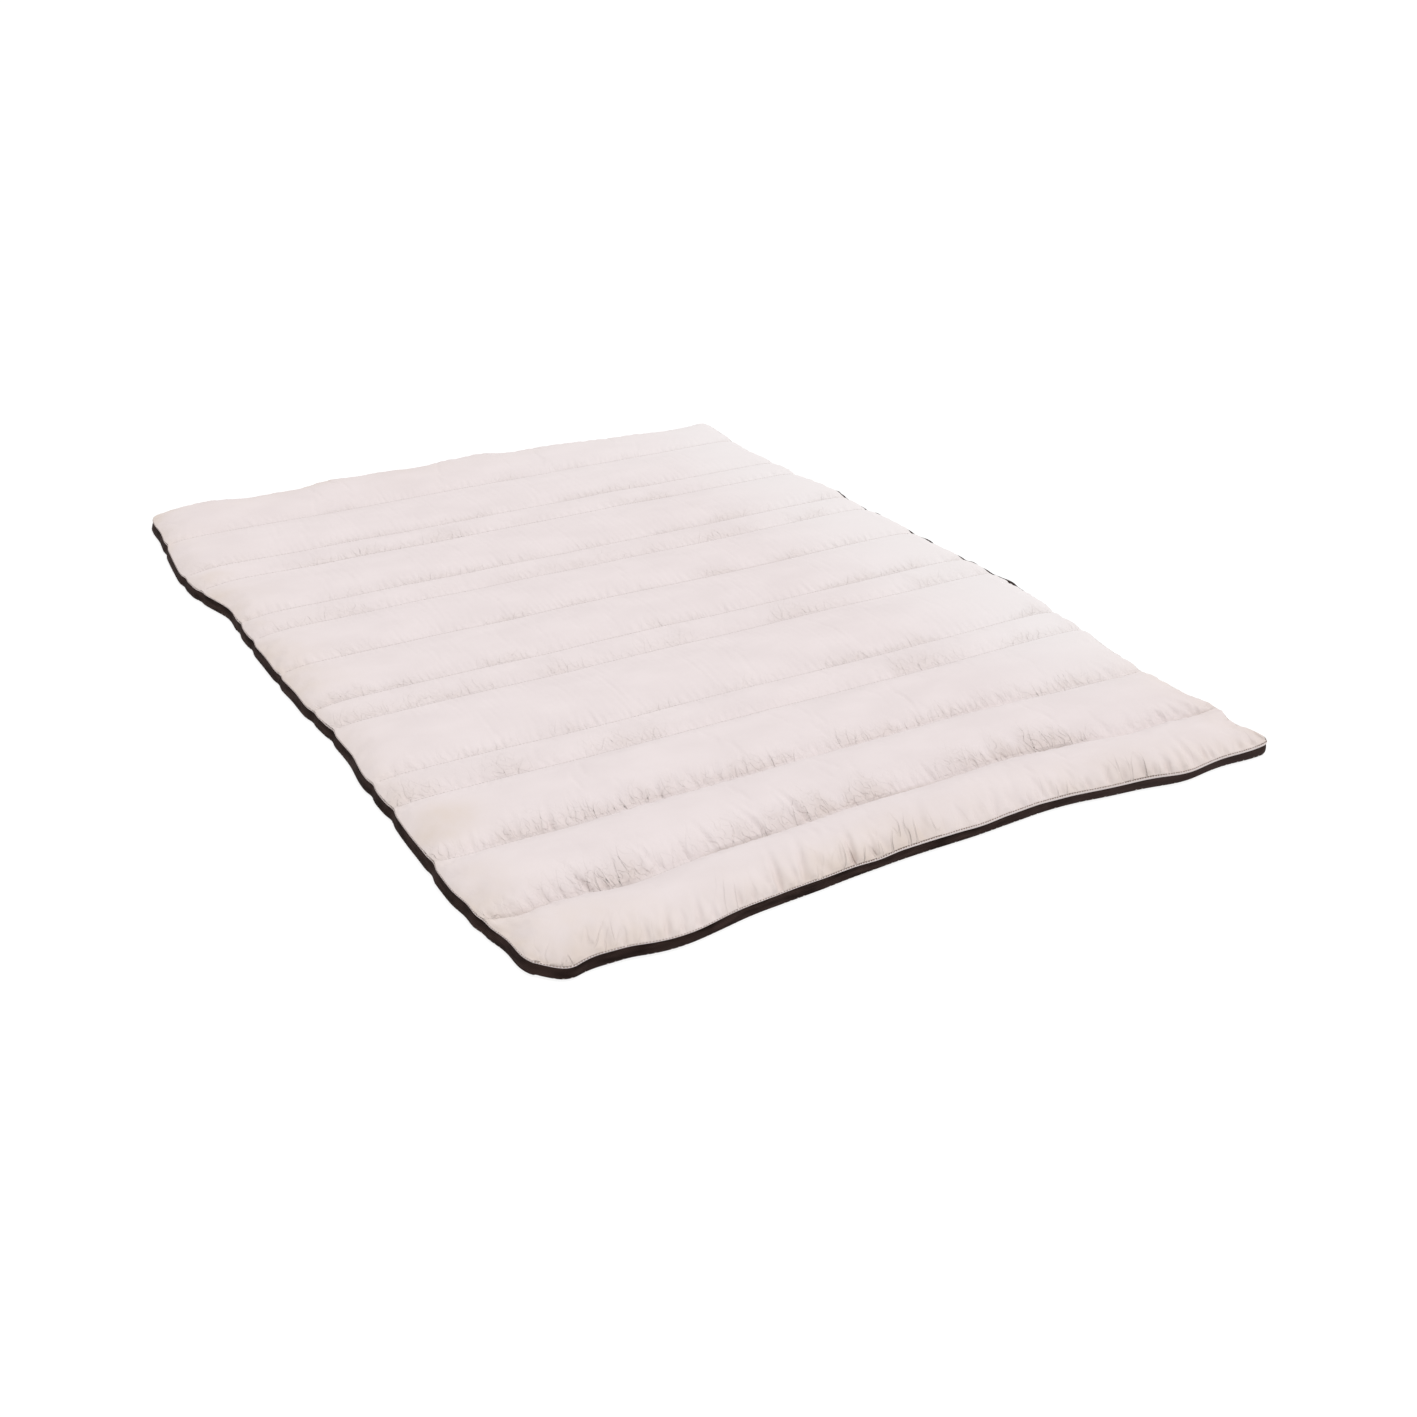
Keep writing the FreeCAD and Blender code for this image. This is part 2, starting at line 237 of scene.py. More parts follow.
def resample(values, old, new):
    """A smooth curve through the values at the places old, read at the places new."""
    slope = np.gradient(values, old, axis=0)
    low = np.clip(np.searchsorted(old, new, side="right") - 1, 0, len(old) - 2)
    shape = (-1,) + (1,) * (values.ndim - 1)
    span = (old[low + 1] - old[low]).reshape(shape)
    t = (new - old[low]).reshape(shape) / span
    start = (2 * t ** 3 - 3 * t ** 2 + 1) * values[low] + (t ** 3 - 2 * t ** 2 + t) * span * slope[low]
    end = (3 * t ** 2 - 2 * t ** 3) * values[low + 1] + (t ** 3 - t ** 2) * span * slope[low + 1]
    return start + end


def side_bulge(along, side):
    total = 0.0020 * noise_1d(along, 0.07, SIDE_SEEDS[side])
    for place, size, half in SIDE_BULGES[side]:
        total = total + size * bell(along - place, half)
    if side == "left":
        total = total - 0.8 * BAND_LEAN
    if side in ("left", "right"):
        for seam in SEAM_Y:
            total = total - SEAM_PULL * bell(along - seam, 0.016)
    return total


def outline_warp(x, y):
    """Round the corners, let the sides wander, and let the seams bow a little."""
    out_x, out_y = x.copy(), y.copy()
    for (sx, sy), radius in CORNER_RADII.items():
        a = (sx * x - (HALF_WIDTH - radius)) / radius
        b = (sy * y - (HALF_LENGTH - radius)) / radius
        inside = (a > 0) & (b > 0)
        a, b = a[inside], b[inside]
        out_x[inside] = sx * (HALF_WIDTH - radius + radius * a * np.sqrt(1 - b * b / 2))
        out_y[inside] = sy * (HALF_LENGTH - radius + radius * b * np.sqrt(1 - a * a / 2))
    reach = 0.45
    left_share = smoothstep(1 - (out_x + HALF_WIDTH) / reach)
    right_share = smoothstep(1 - (HALF_WIDTH - out_x) / reach)
    near_share = smoothstep(1 - (out_y + HALF_LENGTH) / reach)
    far_share = smoothstep(1 - (HALF_LENGTH - out_y) / (HALF_LENGTH - SEAM_Y[-1]))
    shift_x = right_share * side_bulge(y, "right") - left_share * side_bulge(y, "left")
    shift_y = far_share * side_bulge(x, "far") - near_share * side_bulge(x, "near")
    calm = 1 - near_share ** 4 - far_share ** 4
    bow = 0.0035 * noise_2d(x, y, 0.30, 0.22, 11) * calm
    sag, place, half = RIGHT_SAG
    bow = bow - sag * smoothstep((x - 0.35) / 0.35) * bell(y - place, half) * calm
    return out_x + shift_x, out_y + shift_y + bow


def stitch_line_height(x, y):
    """The lip's stitch line rises and falls a little round the pad."""
    along = np.arctan2(y / HALF_LENGTH, x / HALF_WIDTH)
    return STITCH_HEIGHT + 0.0020 * noise_1d(along * 3.1, 0.22, 21)


def band_slump(x, y):
    """Where the band bulges out past the cover's edge, 0 to 1: along the middle of the right side."""
    bulge = np.full_like(y, SLUMP_BETWEEN)
    for place, half in SLUMPS:
        bulge = np.maximum(bulge, bell(y - place, half))
    window = smoothstep((y - SLUMPS[0][0] + 0.12) / 0.08) * smoothstep((SLUMPS[-1][0] + 0.08 - y) / 0.08)
    return bulge * window * smoothstep((x - 0.5 * HALF_WIDTH) / (0.3 * HALF_WIDTH))


def slump_profile(share):
    """The share of the slump at each height of the band: none at its top edge, most just below it."""
    return smoothstep((1 - share) / 0.14) * (0.5 + 0.5 * smoothstep(share / 0.5))


def lip_share(x, y):
    """How much of the folded lip shows below its stitches: most at the right of the near end."""
    near_right = smoothstep((x + 0.25) / 0.35) * smoothstep((-0.90 - y) / 0.06)
    return 0.40 + 0.45 * near_right - 0.25 * band_slump(x, y)


def corner_fill(x, y):
    """Less filling reaches the corners: 1 where the pad is full, 0 in the corner."""
    full = np.ones_like(x)
    for (sx, sy), (start, reach) in CORNER_THINNING.items():
        away = np.hypot(x - sx * HALF_WIDTH, y - sy * HALF_LENGTH)
        full = full * smoothstep((away - start) / reach)
    return full


def channel_of(y):
    """Channel number, its two seams, and the place across it from -1 to 1."""
    channel = np.clip(np.searchsorted(STOPS, y, side="right") - 1, 0, len(STOPS) - 2)
    low, high = STOPS[channel], STOPS[channel + 1]
    return channel, low, high, 2 * (y - low) / (high - low) - 1


def rounded(share, power):
    """From 0 to 1 as the share does, steeply at first and level at the end."""
    return 1 - (1 - np.clip(share, 0, 1)) ** power


def crown_height(x, y):
    """Height of the filled pad before the cloth is simulated."""
    channel, low, high, t = channel_of(y)
    lumps = noise_2d(x + 0.37 * channel, y, 0.16, 0.5, 31) * 0.0022
    height = np.where(high - low < NARROW_CHANNEL, NARROW_CROWN, WIDE_CROWN) + lumps
    height = height - FAR_TILT * (x / HALF_WIDTH) * smoothstep((y - SEAM_Y[-1]) / 0.08)
    rise = rounded((HALF_WIDTH - np.abs(x)) / np.where(x < 0, LEFT_RISE, RIGHT_RISE), 2.4)
    edge = stitch_line_height(x, y)
    ends = np.array([SEAM_HEIGHTS[0], *SEAM_HEIGHTS, SEAM_HEIGHTS[-1]])
    seam = ends[channel] + (ends[channel + 1] - ends[channel]) * (t + 1) / 2
    seam = seam + 0.0012 * noise_2d(x, y, 0.12, 0.3, 32)
    floor = edge * (1 - rise) + seam * rise
    end_floor = np.where((channel == 0) & (t < 0), edge, floor)
    end_floor = np.where((channel == len(STOPS) - 2) & (t > 0), edge, end_floor)
    base = floor * (1 - np.abs(t)) + end_floor * np.abs(t)
    climb = rounded((y - low) / (np.array(CLIMB)[channel] * (high - low)), 2.2)
    fall = rounded((high - y) / (np.array(FALL)[channel] * (high - low)), 2.4)
    return base + (height - base) * climb * fall * rise * corner_fill(x, y)


# ---- puckers: creases that run away from a line of stitches ----

def press_creases(relief, along, across, line, side, creases, share=1.0):
    """Press creases into a relief. They start on the line and run to the given side of it."""
    for place, half, length, slant, depth in creases:
        reach = 3 * half + 0.4 * length
        first, last = np.searchsorted(along, [place - reach, place + reach])
        ends = sorted([line, line + side * 2.2 * length])
        low, high = np.searchsorted(across, ends)
        away = np.abs(across[low:high] - line)
        place_across = along[first:last, None] - place - slant * away[None, :]
        q = (place_across / half) ** 2
        fade = smoothstep(away / 0.006 + 0.15) * bell(away, length)
        relief[first:last, low:high] -= share * depth * (1 - q) * np.exp(-q / 2) * fade[None, :]


def random_creases(seed, low, high, spacing, half, length, depth, patch, slant=0.0):
    """Irregular creases between two places, strong in patches and faint between them."""
    random = np.random.RandomState(seed)
    creases = []
    place = low + random.uniform(0, spacing[1])
    while place < high:
        strength = 0.08 + 0.92 * float(smoothstep(0.55 + 0.85 * noise_1d(place, patch, seed + 500)))
        size = random.uniform(0.55, 1.0) * strength
        creases.append((place, random.uniform(*half), random.uniform(*length) * (0.5 + 0.5 * strength),
                        slant + random.uniform(-0.25, 0.25), depth * size))
        place += random.uniform(*spacing)
    return creases


def seam_creases(relief, columns, rows, scale):
    """Puckers on both sides of every seam. scale picks the broad folds or the fine puckers."""
    for number, line in enumerate(SEAM_Y):
        gather = SEAM_GATHER[number]
        slant = SEAM_SLANT if number else -SEAM_SLANT / 2
        for side in (-1, 1):
            channel = number + (side > 0)
            width = STOPS[channel + 1] - STOPS[channel]
            narrow = width < NARROW_CHANNEL
            if scale == "broad":
                length = (0.020, 0.034) if narrow else (0.030, 0.060)
                sizes = ((0.028, 0.070), (0.009, 0.013), length, 0.0008 * gather, 0.16)
            else:
                length = (0.010, 0.024) if narrow else (0.010, 0.034)
                depth = (0.0024 if side > 0 else 0.0010) * (0.40 + 0.60 * gather)
                sizes = ((0.013, 0.028), (0.0032, 0.0050), length, depth, 0.13)
            seed = (200 if scale == "broad" else 300) + 2 * number + (side > 0)
            creases = random_creases(seed, -HALF_WIDTH, HALF_WIDTH, *sizes, slant)
            press_creases(relief, columns, rows, line, side, creases)


def hem_creases(relief, columns, rows, scale):
    """Puckers that run inward from the lip's stitches on all four sides, deepest at the near end."""
    base, *sizes = {"broad": (400, (0.030, 0.085), (0.008, 0.012), (0.028, 0.055), 0.0036, 0.20),
                    "fine": (440, (0.014, 0.040), (0.0036, 0.0062), (0.012, 0.030), 0.0040, 0.12)}[scale]
    for number, (line, side, share) in enumerate([(-HALF_LENGTH, 1, 1.0), (HALF_LENGTH, -1, 0.2)]):
        creases = random_creases(base + number, -HALF_WIDTH + 0.03, HALF_WIDTH - 0.03, *sizes, HEM_SLANT)
        press_creases(relief, columns, rows, line, side, creases, share)
    sideways = relief.T
    for number, (line, side) in enumerate([(-HALF_WIDTH, 1), (HALF_WIDTH, -1)]):
        creases = random_creases(base + 10 + number, -HALF_LENGTH + 0.03, HALF_LENGTH - 0.03, *sizes)
        press_creases(sideways, rows, columns, line, side, creases, 0.35)


def crinkled(x, y):
    """Where the cloth is finely crinkled and painted in shade, 0 to 1: just beyond each seam, in patches."""
    share = np.zeros_like(x)
    for number, line in enumerate(SEAM_Y):
        after = y - line
        width = STOPS[number + 2] - line
        gather = SEAM_GATHER[number]
        reach = np.where(width < NARROW_CHANNEL, 0.045, 0.014 + 0.020 * gather)
        reach = reach * (1 + 0.6 * noise_2d(x, y, 0.030, 0.4, 500 + number))
        beyond = bell(np.clip(after, 0, None), reach) * smoothstep(after / 0.003 + 0.5)
        ahead = 0.3 * bell(np.clip(-after, 0, None), 0.008) * (after < 0)
        patch = 0.25 + 0.75 * patches(noise_2d(x, y, 0.080, 0.5, 520 + number))
        share = np.maximum(share, (0.40 + 0.60 * gather) * (beyond + ahead) * patch)
    return np.clip(share, 0, 1)


def hem_crinkled(x, y):
    """Where the cloth is crinkled by the lip's stitches and painted in shade, 0 to 1: most along the near
    end.
    """
    near, far = HALF_LENGTH + y, HALF_LENGTH - y
    patch = 0.15 + 0.85 * patches(noise_1d(x, 0.070, 560))
    reach = 0.034 * (1 + 0.5 * noise_1d(x, 0.028, 561))
    return patch * np.maximum(bell(near, reach), 0.25 * bell(far, 0.016))


def inside_edge(x, y):
    """Distance to the nearest side of the pad."""
    return np.minimum(HALF_WIDTH - np.abs(x), HALF_LENGTH - np.abs(y))


def away_from_seam(y):
    """Distance to the nearest seam or end."""
    return np.min([np.abs(y - stop) for stop in STOPS], axis=0)


def surface_normals(points):
    along_x = np.gradient(points, axis=0)
    along_y = np.gradient(points, axis=1)
    normal = np.cross(along_x, along_y)
    return normal / np.linalg.norm(normal, axis=2, keepdims=True)


# ---- the simulation ----

def grid_faces(columns, rows):
    index = np.arange(columns * rows).reshape(columns, rows)
    corners = (index[:-1, :-1], index[1:, :-1], index[1:, 1:], index[:-1, 1:])
    return np.stack([c.ravel() for c in corners], axis=1)


def mesh_from(name, points, faces):
    mesh = bpy.data.meshes.new(name)
    mesh.from_pydata(np.asarray(points).reshape(-1, 3).tolist(), [], [list(face) for face in faces])
    mesh.update()
    return mesh


SETTLING_FRAMES = 12
SPARE_LEVELS = 40
FURTHEST_MOVE = 0.012
CLOTH_SETTINGS = {
    "quality": 5, "mass": 0.25, "air_damping": 2.0, "bending_stiffness": 0.1,
    "tension_stiffness": 15.0, "compression_stiffness": 15.0, "shear_stiffness": 5.0,
    "tension_damping": 5.0, "compression_damping": 5.0, "shear_damping": 5.0,
    "vertex_group_mass": "held", "vertex_group_shrink": "taut", "shrink_min": -0.042, "shrink_max": 0,
    "use_pressure": True, "uniform_pressure_force": 7.0,
}


def spare_cloth(x, y):
    """How much of the spare cloth the thread has gathered at each place, from 0 to 1."""
    spare = np.full_like(x, 0.05)
    for number, seam_y in enumerate(SEAM_Y):
        near = bell(y - seam_y, 0.022) * np.where(y > seam_y, 1.0, 0.4)
        patch = 0.30 + 0.70 * patches(noise_2d(x, y, 0.12, 0.3, 40 + number), 1.0)
        spare = np.maximum(spare, SEAM_GATHER[number] * near * patch)
    inside = inside_edge(x, y)
    hem = bell(inside, 0.032) * (0.35 + 0.65 * patches(noise_2d(x, y, 0.14, 0.14, 60), 1.0))
    hem = hem * np.where(y < SEAM_Y[0], 1.0, 0.5)
    return np.clip(np.maximum(spare, hem), 0, 1)


def settle_cloth(points, spare, held):
    """Let the wadding's pressure settle the cover over its held stitches, with spare cloth beside them."""
    columns, rows = points.shape[:2]
    mesh = mesh_from("cloth_sim", points, grid_faces(columns, rows).tolist())
    cloth_object = bpy.data.objects.new("cloth_sim", mesh)
    SCENE.collection.objects.link(cloth_object)
    group = cloth_object.vertex_groups.new(name="held")
    group.add(np.flatnonzero(held.ravel()).tolist(), 1.0, "REPLACE")
    taut = cloth_object.vertex_groups.new(name="taut")
    levels = np.round((1 - spare.ravel()) * SPARE_LEVELS).astype(int)
    for level in range(1, SPARE_LEVELS + 1):
        taut.add(np.flatnonzero(levels == level).tolist(), level / SPARE_LEVELS, "REPLACE")
    cloth = cloth_object.modifiers.new("Cloth", "CLOTH")
    for key, value in CLOTH_SETTINGS.items():
        setattr(cloth.settings, key, value)
    cloth.settings.effector_weights.gravity = 0
    cloth.collision_settings.use_collision = False
    cloth.collision_settings.use_self_collision = False
    for number in range(1, SETTLING_FRAMES + 1):
        SCENE.frame_set(number)
    settled = cloth_object.evaluated_get(bpy.context.evaluated_depsgraph_get())
    result = np.empty(columns * rows * 3)
    settled.data.vertices.foreach_get("co", result)
    bpy.data.objects.remove(cloth_object)
    SCENE.frame_set(1)
    moved = result.reshape(points.shape) - points
    length = np.linalg.norm(moved, axis=2, keepdims=True)
    return points + moved * np.minimum(1, FURTHEST_MOVE / np.maximum(length, 1e-9))


def over_the_side(x, y):
    """The shift of each point as the cover puffs out over its stitch line, most at the far end."""
    inside_x = HALF_WIDTH - np.abs(x)
    inside_y = HALF_LENGTH - np.abs(y)
    puff_x = np.where(x < 0, 0.0004, 0.0030) * bell(inside_x, 0.020) * smoothstep(inside_x / 0.006)
    near_puff = 0.0006 + 0.0030 * smoothstep((0.10 - x) / 0.40)
    puff_y = np.where(y < 0, near_puff, 0.0040) * bell(inside_y, 0.020)
    puff_y = puff_y * smoothstep(inside_y / 0.006)
    return np.stack([puff_x * np.sign(x), puff_y * np.sign(y), 0.35 * (puff_x + puff_y)], axis=2)


def held_places(y):
    """True on the quilting seams and round the lip's stitch line."""
    held = np.isin(np.round(y, 6), np.round(STOPS, 6))
    held[[0, -1], :] = True
    return held


def settled_top(columns, rows):
    """The top cover with its puckers, settled over the wadding."""
    x, y = grid_places(columns, rows)
    points = np.stack([*outline_warp(x, y), crown_height(x, y)], axis=2) + over_the_side(x, y)
    relief = np.zeros(x.shape)
    seam_creases(relief, columns, rows, "broad")
    hem_creases(relief, columns, rows, "broad")
    held = held_places(y)
    relief[held] = 0
    start = points + surface_normals(points) * (0.5 * relief)[..., None]
    settled = settle_cloth(start, spare_cloth(x, y), held)
    return settled, settled - points


def finer_top(settled, columns, rows, fine_columns, fine_rows):
    """The settled cover on the finer grid, with the finest puckers pressed in."""
    fine = resample(settled, columns, fine_columns)
    fine = np.swapaxes(resample(np.swapaxes(fine, 0, 1), rows, fine_rows), 0, 1)
    relief = np.zeros(fine.shape[:2])
    seam_creases(relief, fine_columns, fine_rows, "fine")
    hem_creases(relief, fine_columns, fine_rows, "fine")
    for line, creases in DEEP_PUCKERS.items():
        press_creases(relief, fine_columns, fine_rows, line, 1, creases)
    relief[held_places(grid_places(fine_columns, fine_rows)[1])] = 0
    return fine + surface_normals(fine) * relief[..., None]


# How many columns to each side the level beneath the puckers is averaged over.
LEVEL_REACH = 9


def underside(moved, columns, rows, fine_rows):
    """The bottom cover: flat where it rests on the floor, drawn up at the seams, puckered beside them."""
    x, y = grid_places(columns, fine_rows)
    warp_x, warp_y = outline_warp(x, y)
    pucker = moved[::-1, :, 2]
    window = np.ones(2 * LEVEL_REACH + 1) / (2 * LEVEL_REACH + 1)
    padded = np.pad(pucker, ((LEVEL_REACH, LEVEL_REACH), (0, 0)), mode="edge")
    level = np.apply_along_axis(np.convolve, 0, padded, window, "valid")
    pucker = resample((pucker - level).T, rows, fine_rows).T
    to_seam = away_from_seam(y)
    inside = inside_edge(x, y)
    beside = np.maximum(bell(to_seam, 0.035), bell(inside, 0.03))
    groove = GROOVE_DEPTH * np.exp(-(to_seam / GROOVE_REACH) ** 1.5) * smoothstep(inside / 0.05)
    relief = np.clip(0.0013 - 0.7 * pucker, 0, 0.005) * beside
    lumps = 0.0005 * (1 + noise_2d(x, y, 0.09, 0.06, 71)) * smoothstep(inside / 0.05)
    edge_lift = 0.0012 * bell(inside, 0.012)
    height = FLOOR_GAP + groove + relief * smoothstep(to_seam / 0.004) + lumps + edge_lift
    inset = 1 - BAND_INSET / HALF_WIDTH
    warp_x = warp_x - 0.8 * BAND_LEAN * smoothstep(1 - (x + HALF_WIDTH) / 0.05)
    return np.stack([warp_x * inset, warp_y * (1 - BAND_INSET / HALF_LENGTH), height], axis=2)


# ---- the edge: a path round the pad, counter-clockwise from above ----

def edge_indices(column_count, row_count, split):
    """Grid places round the edge. The first half of them run round the near end, from split to split."""
    last_column, last_row = column_count - 1, row_count - 1
    near = [(0, j) for j in range(split, 0, -1)]
    near += [(i, 0) for i in range(last_column)]
    near += [(last_column, j) for j in range(split)]
    far = [(last_column, j) for j in range(split, last_row)]
    far += [(i, last_row) for i in range(last_column, 0, -1)]
    far += [(0, j) for j in range(last_row, split, -1)]
    return np.array(near + far), len(near)


def outward_of(loop):
    """Level unit vectors that point out of the pad at each point of the edge."""
    ahead = np.roll(loop, -1, axis=0) - np.roll(loop, 1, axis=0)
    outward = np.stack([ahead[:, 1], -ahead[:, 0], np.zeros(len(loop))], axis=1)
    for _ in range(4):
        outward = outward + np.roll(outward, 1, axis=0) + np.roll(outward, -1, axis=0)
        outward /= np.linalg.norm(outward, axis=1, keepdims=True)
    return outward


def distance_along(path):
    return np.concatenate([[0], np.cumsum(np.linalg.norm(np.diff(path, axis=0), axis=1))])


def half_of(loop_values, near_count, half):
    """The part of the edge's values that belongs to one half of the pad, both ends included."""
    if half == "near":
        return loop_values[:near_count + 1]
    return np.concatenate([loop_values[near_count:], loop_values[:1]])


# ---- meshes ----

def add_piece(name, points, faces, uv, material, slot_name):
    mesh = mesh_from(name, points, faces)
    mesh.polygons.foreach_set("use_smooth", [True] * len(mesh.polygons))
    corner = np.empty(len(mesh.loops), int)
    mesh.loops.foreach_get("vertex_index", corner)
    layer = mesh.uv_layers.new(name="cloth")
    layer.data.foreach_set("uv", np.asarray(uv)[corner].astype(np.float32).ravel())
    mesh.materials.append(material)
    piece = bpy.data.objects.new(name, mesh)
    SCENE.collection.objects.link(piece)
    return piece


def seam_line(x, y):
    """Above 0 only on the rows of points that a quilting seam runs through, most where it gathers most; the
    cotton sinks its groove and paints its shadow by it.
    """
    depth = np.zeros_like(y)
    for number, line in enumerate(SEAM_Y):
        pull = (0.05 + 0.95 * SEAM_GATHER[number] ** 2) * (0.75 + 0.45 * noise_1d(x, 0.06, 590 + number))
        depth = np.where(np.abs(y - line) < 1e-6, pull, depth)
    return np.clip(depth, 0, 1)


def tint_points(piece, name, tint):
    """Store a value from 0 to 1 for each point, for the material to read."""
    attribute = piece.data.attributes.new(name, "FLOAT", "POINT")
    attribute.data.foreach_set("value", np.asarray(tint, np.float32))


def ring_faces(first_ring, rings):
    """Quads between an open ring of existing points and the open rings that follow it."""
    faces = []
    before = list(first_ring)
    for ring in rings:
        faces.extend(zip(before, ring, ring[1:], before[1:]))
        before = ring
    return faces


def bend_at_fold(piece, half):
    """Bake the transform of a piece of one half into its mesh, the same way for both halves; the piece is
    not bent at its fold.

    The bodies are named from the near end to the far end. A half turn has no sign of its own, and in
    this order both ends turn upward.
    """
    if half == "near":
        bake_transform(piece)
    else:
        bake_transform(piece)


def half_rows(half, row_count, split):
    return slice(0, split + 1) if half == "near" else slice(split, row_count)


# Outline of the folded lip below its stitch line: (outward, upward).
LIP_SECTION = [(0.0008, -0.0012), (0.0016, -0.0032), (0.0020, -0.0050), (0.0017, -0.0060),
               (0.0008, -0.0062), (-0.0002, -0.0054), (-0.0009, -0.0030)]


def make_top_half(half, top, columns, rows, split, edge, near_count, outward):
    """One half of the top cover, with its lip folded under along three sides."""
    chosen = half_rows(half, len(rows), split)
    grid = top[:, chosen]
    x, y = grid_places(columns, rows[chosen])
    first_row = chosen.start
    width = grid.shape[1]
    path = half_of(edge, near_count, half)
    first_ring = [int(i) * width + int(j) - first_row for i, j in path]
    stitched = top[path[:, 0], path[:, 1]]
    flat = np.stack([columns[path[:, 0]], rows[path[:, 1]]], axis=1)
    outward = half_of(outward, near_count, half)
    share = lip_share(flat[:, 0], flat[:, 1])
    points = [grid.reshape(-1, 3)]
    uv = [np.stack([x, y], axis=2).reshape(-1, 2)]
    run = 0.0
    before = (0.0, 0.0)
    for out, up in LIP_SECTION:
        run += math.dist(before, (out, up))
        before = (out, up)
        ring = stitched + outward * out
        ring[:, 2] += up * share
        points.append(ring)
        uv.append(flat + outward[:, :2] * run)
    rings = x.size + np.arange(len(LIP_SECTION) * len(path)).reshape(-1, len(path))
    faces = grid_faces(*x.shape).tolist() + ring_faces(first_ring, rings.tolist())
    points = np.concatenate(points)
    piece = add_piece(f"top_cover_{half}_half", points, faces, np.concatenate(uv), CREAM, "cream_cotton")
    inside = inside_edge(x, y)
    worn = np.exp(-inside / 0.05) * (0.4 + 0.6 * patches(noise_2d(x, y, 0.11, 0.09, 81), 1.0))
    worn = np.where(x < 0, worn, 0.6 * worn)
    for place_x, place_y, radius, strength in YELLOWED:
        worn = np.maximum(worn, strength * bell(np.hypot(x - place_x, y - place_y), radius))
    rest = np.full(len(points) - x.size, 0.25)
    tint_points(piece, "wear", np.concatenate([worn.ravel(), rest]))
    # Painted light: the top cover is drawn paler toward the far right and at the right of the near end,
    # where more light falls.
    painted_light = 0.5 * smoothstep((x + 0.2) / 0.9) * smoothstep((y - 0.2) / 0.8)
    painted_light = np.maximum(painted_light, 0.8 * smoothstep((x - 0.30) / 0.40) * smoothstep((y + 0.85) / 0.40))
    tints = {"fading": painted_light, "crinkle": crinkled(x, y), "hem_crinkle": hem_crinkled(x, y),
             "seam_line": seam_line(x, y)}
    for name, tint in tints.items():
        tint_points(piece, name, np.concatenate([tint.ravel(), 0 * rest]))
    return piece


def make_bottom_half(half, bottom, columns, rows, split):
    chosen = half_rows(half, len(rows), split)
    grid = bottom[:, chosen]
    x, y = grid_places(columns, rows[chosen])
    uv = np.stack([-x, y], axis=2).reshape(-1, 2)
    faces = grid_faces(*x.shape)[:, ::-1].tolist()
    piece = add_piece(f"bottom_cover_{half}_half", grid, faces, uv, UNDERSIDE, "underside_cotton")
    to_seam = away_from_seam(y)
    tint_points(piece, "wear", (0.25 * np.exp(-to_seam / 0.02)).ravel())
    tint_points(piece, "crinkle", (0.6 * crinkled(-x, y)).ravel())
    tint_points(piece, "seam_line", seam_line(x, y).ravel())
    return piece


# Outline of the side band, down its outside and up its inside: (outward, share of its height).
BAND_SECTION = [(-0.0007, 1.00), (-0.0002, 0.90), (0.0005, 0.72), (0.0009, 0.50), (0.0008, 0.30),
                (0.0003, 0.14), (-0.0006, 0.04), (-0.0020, 0.0), (-0.0032, 0.02), (-0.0026, 0.10),
                (-0.0018, 0.30), (-0.0013, 0.55), (-0.0019, 0.85), (-0.0021, 0.98)]
OUTSIDE_POINTS = 7


def make_band_half(half, stitched, outward, seed):
    """The twill band of one half: a closed strip that hangs from under the lip to the floor."""
    along = distance_along(stitched)
    top_edge = stitched[:, 2] - LIP_DEPTH * lip_share(stitched[:, 0], stitched[:, 1]) + 0.0015
    low_edge = FLOOR_GAP + 0.0006 * (1 + noise_1d(along, 0.09, seed))
    sway = 0.0009 * noise_1d(along, 0.045, seed + 1) + 0.0004 * noise_1d(along, 0.014, seed + 2)
    lean = BAND_LEAN * np.clip(-outward[:, 0], 0, 1) ** 2
    slump = band_slump(stitched[:, 0], stitched[:, 1])
    points = []
    uv = []
    run = 0.0
    before = BAND_SECTION[0]
    for number, (out, share) in enumerate(BAND_SECTION):
        belly = math.sin(math.pi * share) if number < OUTSIDE_POINTS else 0.4
        bulge = BAND_SLUMP * slump * slump_profile(share)
        place = stitched + outward * (out + sway * belly + lean * (1 - share) + bulge)[:, None]
        drop = (1 - share) * (1 - 0.8 * slump * math.exp(-((1 - share) / 0.12) ** 2))
        place[:, 2] = top_edge - (top_edge - low_edge) * drop
        points.append(place)
        run += math.hypot(out - before[0], (share - before[1]) * BAND_HEIGHT)
        before = (out, share)
        uv.append(np.stack([along, np.full(len(along), run)], axis=1))
    rings = np.arange(len(points) * len(along)).reshape(len(points), -1)
    faces = ring_faces(rings[0].tolist(), [*rings[1:].tolist(), rings[0].tolist()])
    faces += [rings[:, 0].tolist(), rings[::-1, -1].tolist()]
    name = f"side_band_{half}_half"
    piece = add_piece(name, np.concatenate(points), faces, np.concatenate(uv), TWILL, "brown_twill")
    # Painted light: the band is drawn lighter at the right of the near end, where more light falls on it.
    painted_light = 0.45 * smoothstep(stitched[:, 0] / 0.5) * smoothstep((-0.9 - stitched[:, 1]) / 0.08)
    tint_points(piece, "fading", np.tile(painted_light, len(BAND_SECTION)))
    return piece


# ---- thread: short stitches that rise from the cloth and sink back into it ----

# Pitch, length and radius of each kind of stitch.
STITCHES = {"seam": (0.0062, 0.0052, 0.00042), "lip": (0.0048, 0.0043, 0.00062),
            "band": (0.0120, 0.0035, 0.00045)}


def read_along(path, along, places):
    return np.stack([np.interp(places, along, path[:, axis]) for axis in range(3)], axis=1)


